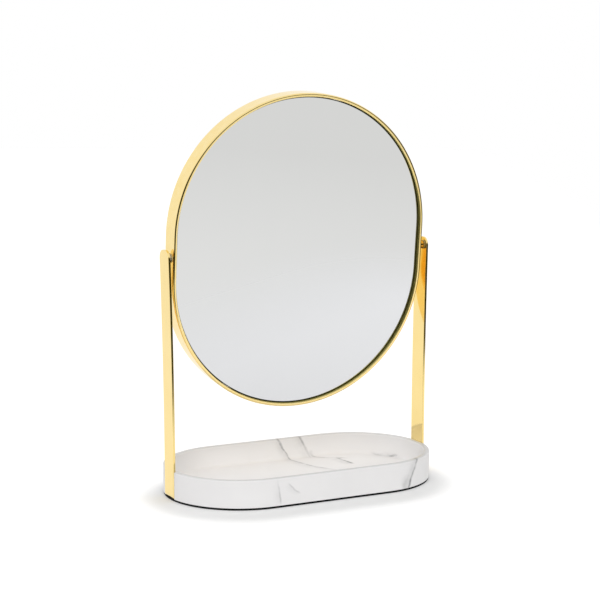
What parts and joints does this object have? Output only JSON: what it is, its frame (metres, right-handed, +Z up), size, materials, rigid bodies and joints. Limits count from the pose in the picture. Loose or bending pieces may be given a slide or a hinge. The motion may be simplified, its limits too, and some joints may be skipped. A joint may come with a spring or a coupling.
{
  "type": "table mirror",
  "caption": "Free-standing table mirror: pill-shaped glass in a gold band, turning between flat posts on a marble-effect tray base.",
  "frame": {"origin": "on the table, under the middle of the base", "axes": "+Z up, +X to the viewer's right along the base, -Y towards the viewer; the glass faces -Y"},
  "size_m": [0.2548, 0.137, 0.3497],
  "materials": {
    "marble_resin": "polished, grey veins",
    "black_pad": "matt foam",
    "gold_plate": "polished gold plate",
    "gold_paint": "satin gold paint",
    "mirror": "silvered glass",
    "foam_tape": "foam",
    "board": "hardboard",
    "nylon": "natural nylon",
    "brass_stud": "gold plate",
    "plated_steel": "zinc plate"
  },
  "bodies": {
    "stand": {"base_tray": "marble_resin", "base_pad": "black_pad", "left_post": "gold_plate", "left_foot_screws": "plated_steel", "left_pivot_stud": "brass_stud", "left_friction_washer": "nylon", "left_flat_washer": "plated_steel", "left_spring_washer": "plated_steel", "left_lock_nut": "plated_steel", "right_post": "gold_plate", "right_foot_screws": "plated_steel", "right_pivot_stud": "brass_stud", "right_friction_washer": "nylon", "right_flat_washer": "plated_steel", "right_spring_washer": "plated_steel", "right_lock_nut": "plated_steel"},
    "mirror": {"mirror_frame": "gold_plate", "mirror_glass": "mirror", "glass_tape": "foam_tape", "backing_board": "board", "frame_tabs": "plated_steel", "board_screws": "plated_steel", "back_cover": "gold_paint", "cover_screws": "plated_steel", "left_pivot_bush": "nylon", "right_pivot_bush": "nylon"}
  },
  "joints": [
    {"name": "mirror_tilt", "type": "hinge", "parent": "stand", "child": "mirror", "pos_m": [0, 0.0012, 0.2095], "axis": [1, 0, 0], "continuous": true}
  ]
}
